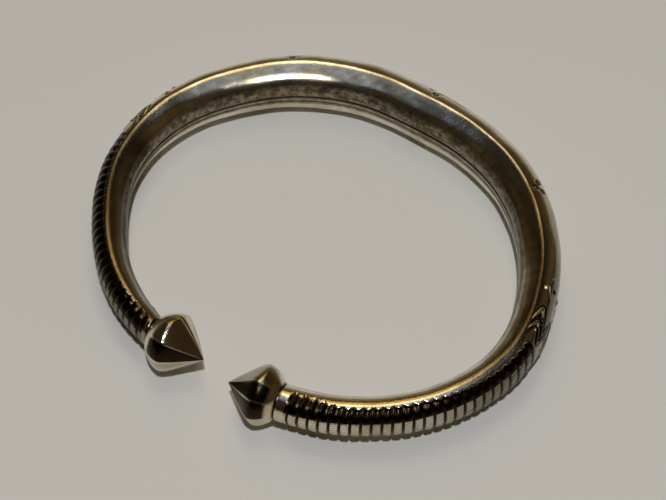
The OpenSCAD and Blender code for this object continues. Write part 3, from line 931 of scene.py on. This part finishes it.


# Old silver, hammered, chased and worn by hand: warm and bright where it is rubbed, pitted and finely
# scratched all over, black oxide in the cuts, painted shade in the same dark colour, and a brown matt film on
# the inside
def makeSilver():
    material = bpy.data.materials.new("chased_old_silver")
    material.use_nodes = True
    tree = material.node_tree
    tree.nodes.clear()
    coords = addNode(tree, "ShaderNodeTexCoord", {}).outputs["Object"]
    patinaAndPaintedShade = addNode(tree, "ShaderNodeAttribute", {"attribute_name": "patinaAndPaintedShade"}).outputs["Fac"]
    brown = addNode(tree, "ShaderNodeAttribute", {"attribute_name": "brown"}).outputs["Fac"]
    patches, mottle, scratches = (addNode(tree, "ShaderNodeTexNoise", {
        "Scale": perMetre(size), "Detail": detail, "Roughness": rough}, Vector=coords).outputs["Fac"]
        for size, detail, rough in (finish["patches"], finish["mottle"], finish["scratches"]))
    pits = addNode(tree, "ShaderNodeTexVoronoi", {
        "Scale": perMetre(finish["pits"]), "Randomness": 1}, Vector=coords).outputs["Distance"]

    # Colour: the bright silver with its thin film, the brown film over it, then the oxide and painted shade
    filmShade, mottleShade, oxideAndShade, pitShade = (addNode(tree, "ShaderNodeMapRange", {
        "From Min": low, "From Max": high}, Value=source)
        for (low, high), source in ((finish["filmFade"], patches), (finish["mottleFade"], mottle),
                                    (finish["oxideFade"], patinaAndPaintedShade), (finish["pitSize"], pits)))
    cleanTint = addNode(tree, "ShaderNodeMix", {
        "data_type": "RGBA", 6: linear(finish["clean"][0]), 7: linear(finish["clean"][1])},
        in0=filmShade.outputs[0])
    filmTint = addNode(tree, "ShaderNodeMix", {
        "data_type": "RGBA", 6: linear(finish["film"][0]), 7: linear(finish["film"][1])},
        in0=mottleShade.outputs[0])
    browned = addNode(tree, "ShaderNodeMix", {"data_type": "RGBA"},
                      in0=brown, in6=cleanTint.outputs[2], in7=filmTint.outputs[2])
    base = addNode(tree, "ShaderNodeMix", {"data_type": "RGBA", 7: linear(finish["oxideAndShade"])},
                   in0=oxideAndShade.outputs[0], in6=browned.outputs[2])

    # Gloss: the rubbed metal's roughness, with more for the film and for the oxide and painted shade
    rubbed = addNode(tree, "ShaderNodeMapRange", {
        "From Min": finish["roughFade"][0], "From Max": finish["roughFade"][1],
        "To Min": finish["rough"][0], "To Max": finish["rough"][1]}, Value=patches)
    matted = addNode(tree, "ShaderNodeMath", {"operation": "MULTIPLY_ADD", 1: finish["brownRough"]},
                     in0=brown, in2=rubbed.outputs[0])
    dulled = addNode(tree, "ShaderNodeMath", {"operation": "MULTIPLY_ADD", 1: finish["oxideRough"]},
                     in0=oxideAndShade.outputs[0], in2=matted.outputs[0])

    # Fine relief: the scratches, lower in the pits
    relief = addNode(tree, "ShaderNodeMath", {"operation": "MULTIPLY_ADD", 1: finish["pitDepth"]},
                     in0=pitShade.outputs[0], in2=scratches)
    tooled = addNode(tree, "ShaderNodeBump", {
        "Strength": finish["reliefShare"], "Distance": finish["relief"] * millimetre},
        Height=relief.outputs[0])
    shader = addNode(tree, "ShaderNodeBsdfPrincipled", {"Metallic": 1}, Base_Color=base.outputs[2],
                     Roughness=dulled.outputs[0], Normal=tooled.outputs[0])
    addNode(tree, "ShaderNodeOutputMaterial", {}, Surface=shader.outputs[0])
    return material


silver = makeSilver()
for piece, node in [(hoopPiece, "hoop")] + [(budPieces[name], bud["node"]) for name, bud in buds.items()]:
    piece.data.materials.append(silver)
    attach(piece, "root")
    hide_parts(node)
print("silver on", len(budPieces) + 1, "pieces")


# Camera, light and floor

camera = {
    "place": (100.6, -155.4, 238.1),  # mm, and so is the target
    "target": (0.562, 1.556, 0),
    "lens": 101.1,
    "sensor": 36,
    "clip": (0.01, 20),  # metres
}
cameraData = bpy.data.cameras.new("camera")
cameraData.lens = camera["lens"]
cameraData.sensor_width = camera["sensor"]
cameraData.clip_start, cameraData.clip_end = camera["clip"]
cameraObject = bpy.data.objects.new("camera", cameraData)
cameraObject.location = Vector(camera["place"]) * millimetre
aim = Vector(camera["target"]) - Vector(camera["place"])
cameraObject.rotation_euler = aim.to_track_quat("-Z", "Y").to_euler()
bpy.context.scene.collection.objects.link(cameraObject)
bpy.context.scene.camera = cameraObject
towardsCamera = math.degrees(math.atan2(-aim[0], aim[1]))

# Soft lights. Each row has its azimuth from the camera's side, elevation, distance in metres, size
# across and up in metres, power and colour.
lights = {
    "skylight": [180, 69, 1.3, (0.5, 0.46), 1.5, "#fff3d2"],
    "gold_glow": [180, 46, 1.3, (0.7, 0.4), 0.95, "#f6c262"],
    "far_glow": [180, 27, 1.6, (4.6, 1.0), 1.2, "#b99a60"],
    "horizon": [180, 8, 1.7, (4.6, 0.4), 1.5, "#d8c8a4"],
    "ceiling": [0, 89, 1.3, (1.2, 0.46), 0.75, "#cfdfff"],
    "right_side": [85, 32, 1.5, (2.4, 1.2), 0.8, "#c09858"],
    "left_side": [-85, 32, 1.5, (2.4, 1.2), 0.6, "#c09858"],
    "key": [3, 70, 1.0, (0.05, 0.05), 3.9, "#fffcf8"],
}
room = {"colour": "#4a4033", "strength": 0.2}


def addLight(name, azimuth, elevation, distance, size, power, colour):
    # An area light that faces the bangle from its azimuth and elevation
    turn, rise = math.radians(towardsCamera + azimuth), math.radians(elevation)
    away = Vector((math.sin(turn) * math.cos(rise), -math.cos(turn) * math.cos(rise), math.sin(rise)))
    data = bpy.data.lights.new(name, "AREA")
    data.shape = "RECTANGLE"
    data.size, data.size_y = size
    data.energy = power
    data.color = linear(colour)[:3]
    lamp = bpy.data.objects.new(name, data)
    lamp.location = away * distance
    lamp.rotation_euler = (-away).to_track_quat("-Z", "Y").to_euler()
    bpy.context.scene.collection.objects.link(lamp)


for name, light in lights.items():
    addLight(name, *light)

world = bpy.data.worlds.new("room")
bpy.context.scene.world = world
world.use_nodes = True
background = world.node_tree.nodes["Background"]
background.inputs["Color"].default_value = linear(room["colour"])
background.inputs["Strength"].default_value = room["strength"]
bpy.context.scene.view_settings.view_transform = "Standard"

# A plain floor, pale and matt as uncoated paper
ground = {"reach": 1.5, "colour": "#eff1f1", "roughness": 0.9}  # reach in metres
reach = ground["reach"]
floorMesh = bpy.data.meshes.new("floor")
floorMesh.from_pydata([(-reach, -reach, 0), (reach, -reach, 0), (reach, reach, 0), (-reach, reach, 0)],
                      [], [(0, 1, 2, 3)])
floor = bpy.data.objects.new("floor", floorMesh)
bpy.context.scene.collection.objects.link(floor)
floorMaterial = bpy.data.materials.new("pale_matt_floor")
floorMaterial.use_nodes = True
floorShader = floorMaterial.node_tree.nodes["Principled BSDF"]
floorShader.inputs["Base Color"].default_value = linear(ground["colour"])
floorShader.inputs["Roughness"].default_value = ground["roughness"]
floorMesh.materials.append(floorMaterial)
print("camera and", len(lights), "lights")

bpy.context.view_layer.update()
